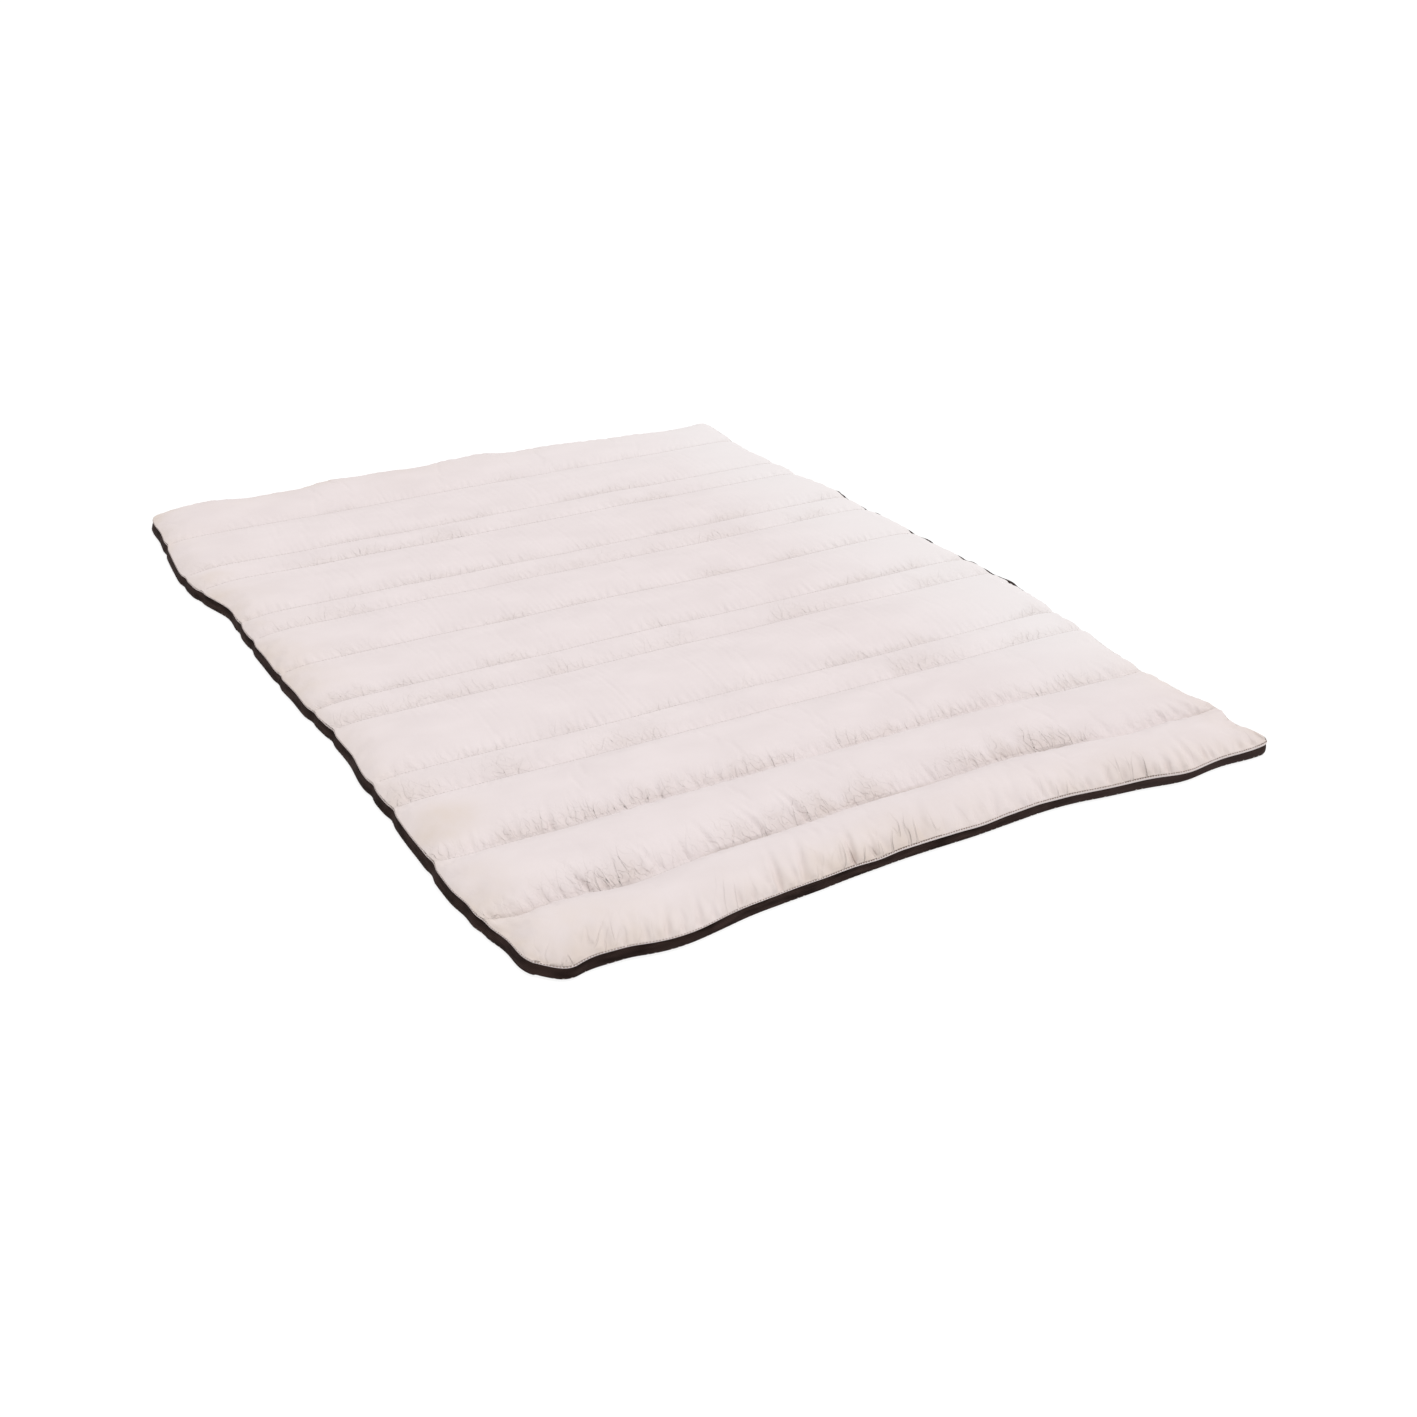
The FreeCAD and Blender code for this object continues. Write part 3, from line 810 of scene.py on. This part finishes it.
def stitch_points(path, up, pitch, length, radius, seed, missing=0.0):
    """Points, faces and UVs of a row of stitches. Each one is a four-sided bead with pointed ends."""
    random = np.random.RandomState(seed)
    along = distance_along(path)
    centres = np.arange(pitch, along[-1] - pitch, pitch)
    centres = centres + random.uniform(-0.08, 0.08, len(centres)) * pitch
    centres = centres[random.uniform(0, 1, len(centres)) >= missing]
    half = length / 2
    start = read_along(path, along, centres - half)
    end = read_along(path, along, centres + half)
    lift = read_along(up, along, centres)
    ahead = end - start
    ahead /= np.linalg.norm(ahead, axis=1, keepdims=True)
    across = np.cross(ahead, lift)
    across /= np.linalg.norm(across, axis=1, keepdims=True)
    points = [start - lift * radius * 0.9]
    for share in (0.22, 0.78):
        centre = start * (1 - share) + end * share + lift * radius * 0.55
        points += [centre + offset * radius for offset in (lift, across, -lift, -across)]
    points.append(end - lift * radius * 0.9)
    points = np.stack(points, axis=1)
    sides = [(k, (k + 1) % 4) for k in range(4)]
    shape = [(0, 1 + k, 1 + n) for k, n in sides]
    shape += [(1 + k, 5 + k, 5 + n, 1 + n) for k, n in sides]
    shape += [(5 + k, 9, 5 + n) for k, n in sides]
    faces = [tuple(10 * n + corner for corner in face) for n in range(len(centres)) for face in shape]
    shares = np.array([0] + [0.22] * 4 + [0.78] * 4 + [1])
    turn = np.array([0, 0, 1, 2, 3, 0, 1, 2, 3, 0]) * radius * 1.5
    uv_along = centres[:, None] - half + length * shares[None, :]
    uv = np.stack([uv_along, np.broadcast_to(turn, uv_along.shape)], axis=2)
    return points.reshape(-1, 3), faces, uv.reshape(-1, 2)


def joined(rows_of_stitches):
    points, faces, uv = [], [], []
    count = 0
    for some_points, some_faces, some_uv in rows_of_stitches:
        points.append(some_points)
        uv.append(some_uv)
        faces += [tuple(corner + count for corner in face) for face in some_faces]
        count += len(some_points)
    return np.concatenate(points), faces, np.concatenate(uv)


def make_seam_stitches(number, top, bottom, rows):
    """The upper and lower thread of one quilting seam."""
    row = int(np.argmin(np.abs(rows - SEAM_Y[number - 1])))
    threads = []
    for surface, outward, seed in [(top, (0.0, 0.0, 1.0), 900), (bottom, (0.0, 0.0, -1.0), 950)]:
        outward = np.tile(outward, (len(surface) - 4, 1))
        path = surface[2:-2, row] + 0.0001 * outward
        threads.append(stitch_points(path, outward, *STITCHES["seam"], seed + number))
    shape = joined(threads)
    body = "near_flap" if number <= 2 else "far_flap" if number >= 11 else "middle_panel"
    piece = add_piece(f"seam_stitch_{number:02d}_thread", *shape, CREAM_THREAD, "cream_thread")
    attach(piece, body)
    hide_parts(f"seam_stitch_{number:02d}")
    return piece


def make_edge_stitches(half, kind, stitched, outward, seed):
    """The thread along the lip or the band of one half: kind is lip or band."""
    if kind == "lip":
        path = stitched + outward * 0.0008 + np.array([0, 0, -0.0010])
        shape = stitch_points(path, outward, *STITCHES["lip"], seed)
        return add_piece(f"lip_stitch_{half}_half", *shape, TAUPE_THREAD, "taupe_thread")
    lean = BAND_LEAN * np.clip(-outward[:, :1], 0, 1) ** 2
    slump = BAND_SLUMP * band_slump(stitched[:, :1], stitched[:, 1:2]) * slump_profile(0.12)
    path = stitched + outward * (0.0006 + 0.85 * lean + slump)
    path[:, 2] = FLOOR_GAP + 0.0030
    shape = stitch_points(path, outward, *STITCHES["band"], seed + 2, missing=0.35)
    return add_piece(f"band_stitch_{half}_half", *shape, CREAM_THREAD, "cream_thread")


# ---- wadding: one closed form in each channel ----

# In columns of the grid: how far the filling stops from the sides, and how far apart its own columns are.
WADDING_MARGIN = 10
WADDING_COLUMN_STEP = 6


def make_wadding(number, top, bottom, columns, rows):
    """The filling of one channel, a little inside its covers."""
    low, high = STOPS[number - 1], STOPS[number]
    low_gap = WADDING_SETBACK + FOLD_REACH * (abs(low - FOLD_Y["far_fold"]) < WADDING_SETBACK)
    high_gap = WADDING_SETBACK + FOLD_REACH * (abs(high - FOLD_Y["near_fold"]) < WADDING_SETBACK)
    row_list = np.flatnonzero((rows > low + low_gap) & (rows < high - high_gap))[::2]
    column_list = np.arange(WADDING_MARGIN, len(columns) - WADDING_MARGIN, WADDING_COLUMN_STEP)
    upper = top[np.ix_(column_list, row_list)].copy()
    lower = bottom[np.ix_(column_list, row_list)].copy()
    upper[..., 2] -= WADDING_TOP_GAP
    lower[..., 2] = np.minimum(lower[..., 2] + WADDING_LOW_GAP, upper[..., 2] - 0.002)
    shape = upper.shape[:2]
    middle = (upper + lower) / 2
    rim = np.zeros(shape, bool)
    rim[[0, -1], :] = True
    rim[:, [0, -1]] = True
    for layer in (upper, lower):
        layer[rim] = 0.4 * layer[rim] + 0.6 * middle[rim]
    faces = grid_faces(*shape).tolist()
    size = upper.shape[0] * upper.shape[1]
    faces += [[corner + size for corner in reversed(face)] for face in faces]
    index = np.arange(size).reshape(shape)
    around = np.concatenate([index[:-1, 0], index[-1, :-1], index[:0:-1, -1], index[0, :0:-1]]).tolist()
    for here, there in zip(around, around[1:] + around[:1]):
        faces.append((here, here + size, there + size, there))
    points = np.concatenate([upper.reshape(-1, 3), lower.reshape(-1, 3)])
    piece = add_piece(f"wadding_{number:02d}_fill", points, faces, points[:, :2], FIBRE, "wadding")
    body = "near_flap" if number <= 3 else "far_flap" if number >= 11 else "middle_panel"
    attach(piece, body)
    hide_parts(f"wadding_{number:02d}")
    return piece


# ---- materials ----

def set_inputs(node, values):
    for key, value in values.items():
        node.inputs[key].default_value = value


class Nodes:
    """A material's node tree, with short calls for the nodes that the cloths share."""

    def __init__(self, name, roughness, sheen=0.0, sheen_tint=(1, 1, 1), specular=0.25):
        self.material = bpy.data.materials.new(name)
        self.material.use_nodes = True
        self.tree = self.material.node_tree
        self.shader = self.tree.nodes["Principled BSDF"]
        set_inputs(self.shader, {
            "Roughness": roughness, "Specular IOR Level": specular, "Sheen Weight": sheen,
            "Sheen Roughness": 0.45, "Sheen Tint": (*sheen_tint, 1)})
        self.place = self.node("ShaderNodeUVMap", "UV", uv_map="cloth")

    def node(self, kind, output, inputs=None, **settings):
        """Add a node, fill in its inputs and settings, and give back one of its outputs."""
        made = self.tree.nodes.new(kind)
        for key, value in settings.items():
            setattr(made, key, value)
        for key, value in (inputs or {}).items():
            if isinstance(value, bpy.types.NodeSocket):
                self.tree.links.new(value, made.inputs[key])
            else:
                made.inputs[key].default_value = value
        return made.outputs[output]

    def stretched(self, size_x, size_y, turn=0.0):
        """The place on the cloth, turned and divided by a size along and across it."""
        inputs = {"Vector": self.place, "Rotation": (0, 0, turn), "Scale": (size_x, size_y, 1)}
        return self.node("ShaderNodeMapping", "Vector", inputs, vector_type="TEXTURE")

    def noise(self, size_x, size_y, detail=2.0, turn=0.0):
        where = self.stretched(size_x, size_y, turn)
        return self.node("ShaderNodeTexNoise", "Fac", {"Vector": where, "Scale": 1.0, "Detail": detail})

    def ribs(self, pitch, turn=0.0, wobble=0.0):
        """Parallel ribs, 0 to 1, one every pitch."""
        where = self.stretched(math.pi * pitch, math.pi * pitch, turn)
        return self.node("ShaderNodeTexWave", "Fac", {
            "Vector": where, "Scale": 0.5, "Distortion": wobble, "Detail": 1.0, "Detail Scale": 0.6})

    def ranged(self, value, low=0.0, high=1.0, to_low=0.0, to_high=1.0):
        return self.node("ShaderNodeMapRange", "Result", {
            "Value": value, "From Min": low, "From Max": high, "To Min": to_low, "To Max": to_high})

    def mixed(self, factor, one, other):
        return self.node("ShaderNodeMix", 2, {0: factor, 6: one, 7: other}, data_type="RGBA")

    def blotched(self, colour, other, noise_sizes, low, high, most=1.0):
        """The colour, with blotches of another one where a noise field is high."""
        return self.mixed(self.ranged(self.noise(*noise_sizes), low, high, 0.0, most), colour, other)

    def calculated(self, operation, one, other=0.0):
        return self.node("ShaderNodeMath", "Value", {0: one, 1: other}, operation=operation)

    def multiplied(self, one, other):
        return self.calculated("MULTIPLY", one, other)

    def attribute(self, name):
        return self.node("ShaderNodeAttribute", "Fac", attribute_name=name)

    def valleys(self, field, half):
        """0 along thin lines where a noise field passes its middle value, rising to 1 beside them."""
        away = self.calculated("ABSOLUTE", self.calculated("SUBTRACT", field, 0.5))
        return self.node("ShaderNodeMapRange", "Result", {"Value": away, "From Max": half},
                         interpolation_type="SMOOTHSTEP")

    def bumped(self, heights):
        """Chain bumps, each a height from 0 to 1, its depth in metres and its strength."""
        normal = None
        for height, depth, strength in heights:
            inputs = {"Height": height, "Distance": depth, "Strength": strength}
            if normal is not None:
                inputs["Normal"] = normal
            normal = self.node("ShaderNodeBump", "Normal", inputs)
        self.tree.links.new(normal, self.shader.inputs["Normal"])

    def coloured(self, colour):
        self.tree.links.new(colour, self.shader.inputs["Base Color"])

    def roughened(self, spacing, low, high):
        """Roughness that wanders between two values."""
        wander = self.ranged(self.noise(spacing, spacing), 0.3, 0.7, low, high)
        self.tree.links.new(wander, self.shader.inputs["Roughness"])


def rgb(red, green, blue):
    return (red, green, blue, 1.0)


def cotton(name, light, dark, worn, painted_light, painted_crease_shade, weave_pitch, weave_depth):
    """Plain woven cotton: mottled, yellowed at the edges, with painted shade in its seams and creases,
    painted light where more light falls, and a weave.
    """
    cloth = Nodes(name, 0.88, sheen=0.12)
    colour = cloth.blotched(light, dark, (0.11, 0.07, 3.0), 0.35, 0.65)
    colour = cloth.blotched(colour, worn, (0.0016, 0.0050, 1.0), 0.40, 0.75, 0.10)
    uneven = cloth.ranged(cloth.noise(0.035, 0.05, 3.0), 0.3, 0.7, 0.4, 1)
    aged = cloth.multiplied(cloth.attribute("wear"), uneven)
    colour = cloth.mixed(aged, colour, worn)
    # Painted light: paler where more light falls on the cover.
    colour = cloth.mixed(cloth.attribute("fading"), colour, painted_light)
    crinkle = cloth.attribute("crinkle")
    hem_crinkle = cloth.attribute("hem_crinkle")
    groove = cloth.calculated("POWER", cloth.attribute("seam_line"), 1.6)
    # Painted shade: darker just beyond the seams and along the hem, where the puckered cloth lies in shade.
    shade = cloth.calculated("MAXIMUM", cloth.calculated("POWER", crinkle, 2.2),
                             cloth.calculated("POWER", hem_crinkle, 1.2))
    colour = cloth.mixed(cloth.ranged(shade, to_high=0.42), colour, painted_crease_shade)
    sharp = cloth.valleys(cloth.noise(0.0230, 0.065, 0.6, -SEAM_SLANT), 0.040)
    slight = cloth.valleys(cloth.noise(0.0130, 0.022, 1.0, 0.30), 0.060)
    hem_sharp = cloth.valleys(cloth.noise(0.0200, 0.080, 0.8, -HEM_SLANT), 0.050)
    # Painted shade along the valleys of the puckers, which the bumps below also sink.
    for share, lines, most in [(crinkle, sharp, 0.16), (crinkle, slight, 0.06),
                               (hem_crinkle, hem_sharp, 0.20)]:
        line = cloth.ranged(lines, to_low=most, to_high=0.0)
        colour = cloth.mixed(cloth.multiplied(share, line), colour, painted_crease_shade)
    # Painted shadow in the seam grooves, which the first bump below also sinks.
    cloth.coloured(cloth.mixed(cloth.ranged(groove, to_high=0.58), colour, painted_crease_shade))
    cloth.roughened(0.02, 0.82, 0.94)
    weave = cloth.multiplied(cloth.ribs(weave_pitch), cloth.ribs(weave_pitch, math.pi / 2))
    cloth.bumped([(cloth.ranged(groove, to_low=1.0, to_high=0.0), 0.0020, 1.0),
                  (cloth.multiplied(crinkle, cloth.noise(0.022, 0.060, 0.4, -SEAM_SLANT)), 0.0044, 1.0),
                  (cloth.multiplied(crinkle, sharp), 0.0012, 1.0),
                  (cloth.multiplied(crinkle, slight), 0.0009, 1.0),
                  (cloth.multiplied(hem_crinkle, hem_sharp), 0.0019, 1.0),
                  (cloth.noise(0.030, 0.018, 2.0, 0.5), 0.0012, 0.10),
                  (cloth.noise(0.006, 0.011, 2.0, -0.3), 0.0005, 0.25),
                  (cloth.noise(0.0012, 0.0030, 1.0), 0.00015, 0.35),
                  (weave, weave_depth, 0.5)])
    return cloth.material


def brown_twill():
    """Tightly woven brown twill tape: diagonal ribs, uneven dye, pale rubbed fibres, and painted light at
    the right of the near end.
    """
    cloth = Nodes("brown_twill", 0.88, sheen=0.02, sheen_tint=(0.75, 0.55, 0.48), specular=0.05)
    ribs = cloth.ribs(0.0012, math.radians(40), 0.4)
    colour = cloth.mixed(ribs, rgb(0.0075, 0.0038, 0.0029), rgb(0.076, 0.0460, 0.0400))
    colour = cloth.blotched(colour, rgb(0.0090, 0.0046, 0.0036), (0.05, 0.009, 3.0), 0.35, 0.65, 0.80)
    colour = cloth.blotched(colour, rgb(0.080, 0.056, 0.048), (0.0022, 0.0016, 3.0), 0.62, 0.80, 0.35)
    # Painted light: lighter brown where the band is lit more.
    colour = cloth.mixed(cloth.attribute("fading"), colour, rgb(0.055, 0.036, 0.034))
    cloth.coloured(colour)
    cloth.roughened(0.01, 0.72, 0.92)
    cloth.bumped([(cloth.noise(0.02, 0.006, 2.0), 0.0008, 0.4),
                  (ribs, 0.00025, 0.6)])
    return cloth.material


def thread(name, light, dark):
    """Two-ply sewing thread, with its twist."""
    cloth = Nodes(name, 0.65, sheen=0.2)
    twist = cloth.ribs(0.0007, math.radians(35))
    colour = cloth.mixed(twist, dark, light)
    cloth.coloured(cloth.blotched(colour, dark, (0.03, 0.03), 0.35, 0.65, 0.3))
    cloth.bumped([(twist, 0.0001, 0.6)])
    return cloth.material


def wadding_fibre():
    """Carded fibre: a pale fluffy mat."""
    cloth = Nodes("wadding_fibre", 0.95, sheen=0.3)
    tufts = cloth.noise(0.008, 0.008, 5.0)
    cloth.coloured(cloth.mixed(tufts, rgb(0.72, 0.70, 0.66), rgb(0.86, 0.85, 0.82)))
    cloth.bumped([(tufts, 0.002, 0.7), (cloth.noise(0.0008, 0.006, 3.0), 0.0004, 0.5)])
    return cloth.material


# Each cotton: its light and dark tone, its yellowed tone, its painted light, its painted shade for seams and
# creases, and its weave's pitch and depth.
CREAM = cotton("cream_cotton", rgb(0.745, 0.669, 0.668), rgb(0.714, 0.639, 0.638), rgb(0.675, 0.578, 0.512),
               rgb(0.79, 0.75, 0.75), rgb(0.56, 0.47, 0.42), 0.0011, 0.00012)
UNDERSIDE = cotton("underside_cotton", rgb(0.735, 0.675, 0.640), rgb(0.700, 0.635, 0.600),
                   rgb(0.66, 0.58, 0.50), rgb(0.735, 0.675, 0.640), rgb(0.56, 0.49, 0.44), 0.0015, 0.00018)
TWILL = brown_twill()
CREAM_THREAD = thread("cream_thread", rgb(0.80, 0.74, 0.71), rgb(0.60, 0.54, 0.51))
TAUPE_THREAD = thread("taupe_thread", rgb(0.30, 0.19, 0.13), rgb(0.17, 0.10, 0.07))
FIBRE = wadding_fibre()


# ---- the pad ----

columns = even_columns()
rows = seam_rows()
settled, moved = settled_top(columns, rows)
fine_columns = even_columns(2)
fine_rows = fold_rows(rows)
top = finer_top(settled, columns, rows, fine_columns, fine_rows)
bottom = underside(moved, columns, rows, fine_rows)
wide_bottom = resample(bottom, columns, fine_columns)
split = int(np.argmin(np.abs(fine_rows - SEAM_Y[SPLIT_SEAM - 1])))
edge, near_count = edge_indices(len(fine_columns), len(fine_rows), split)
edge_points = top[edge[:, 0], edge[:, 1]]
edge_outward = outward_of(edge_points)

# For each half: the CAD panels that it stands for, and the seeds of its band and its stitches.
HALVES = {"near": (("near", "middle"), 61, 971), "far": (("far",), 66, 972)}

for half, (panels, band_seed, stitch_seed) in HALVES.items():
    stitched = half_of(edge_points, near_count, half)
    outward = half_of(edge_outward, near_count, half)
    cover = make_top_half(half, top, fine_columns, fine_rows, split, edge, near_count, edge_outward)
    under = make_bottom_half(half, bottom, columns, fine_rows, split)
    band = make_band_half(half, stitched, outward, band_seed)
    lip_row = make_edge_stitches(half, "lip", stitched, outward, stitch_seed)
    band_row = make_edge_stitches(half, "band", stitched, outward, stitch_seed)
    for piece, kind in [(cover, "top_cover"), (under, "bottom_cover"), (band, "side_band"),
                        (lip_row, "lip_stitch"), (band_row, "band_stitch")]:
        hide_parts(*[f"{kind}_{panel}" for panel in panels])
        bend_at_fold(piece, half)

for number in range(1, SEAM_COUNT + 1):
    make_seam_stitches(number, top, wide_bottom, fine_rows)
for number in range(1, len(STOPS)):
    make_wadding(number, top, wide_bottom, fine_columns, fine_rows)


# ---- floor, light and camera ----

AIM = Vector((-0.0548, -0.3870, 0.0))
AZIMUTH = math.radians(-29.24)
ELEVATION = math.radians(27.0)
DISTANCE = 3.287
LENS_MM = 46.569
SENSOR_MM = 36
KEY_FROM = Vector((0.42, -0.08, 1.30))
KEY_STRENGTH = 1.56
KEY_SPREAD = math.radians(16)


def make_floor():
    bpy.ops.mesh.primitive_plane_add(size=120)
    floor = bpy.context.object
    floor.name = "floor"
    paper = bpy.data.materials.new("floor_paper")
    paper.use_nodes = True
    set_inputs(paper.node_tree.nodes["Principled BSDF"], {
        "Base Color": (0.20, 0.20, 0.20, 1), "Emission Color": (1, 1, 1, 1), "Emission Strength": 0.84,
        "Roughness": 0.95, "Specular IOR Level": 0.1})
    floor.data.materials.append(paper)


def make_camera():
    data = bpy.data.cameras.new("camera")
    data.sensor_width = SENSOR_MM
    data.lens = LENS_MM
    camera = bpy.data.objects.new("camera", data)
    SCENE.collection.objects.link(camera)
    level = math.cos(ELEVATION)
    back = Vector((math.sin(AZIMUTH) * level, -math.cos(AZIMUTH) * level, math.sin(ELEVATION)))
    camera.location = AIM + back * DISTANCE
    camera.rotation_mode = "QUATERNION"
    camera.rotation_quaternion = (-back).to_track_quat("-Z", "Y")
    SCENE.camera = camera


def make_key_light():
    """A wide soft light that is equally bright all over the floor."""
    data = bpy.data.lights.new("key", "SUN")
    data.energy = KEY_STRENGTH
    data.angle = KEY_SPREAD
    sun = bpy.data.objects.new("key", data)
    SCENE.collection.objects.link(sun)
    sun.rotation_mode = "QUATERNION"
    sun.rotation_quaternion = KEY_FROM.to_track_quat("Z", "Y")


def make_world():
    world = bpy.data.worlds.new("studio")
    SCENE.world = world
    world.use_nodes = True
    set_inputs(world.node_tree.nodes["Background"], {"Color": (1, 1, 1, 1), "Strength": 0.68})


make_floor()
make_camera()
make_key_light()
make_world()
SCENE.view_settings.view_transform = "Standard"
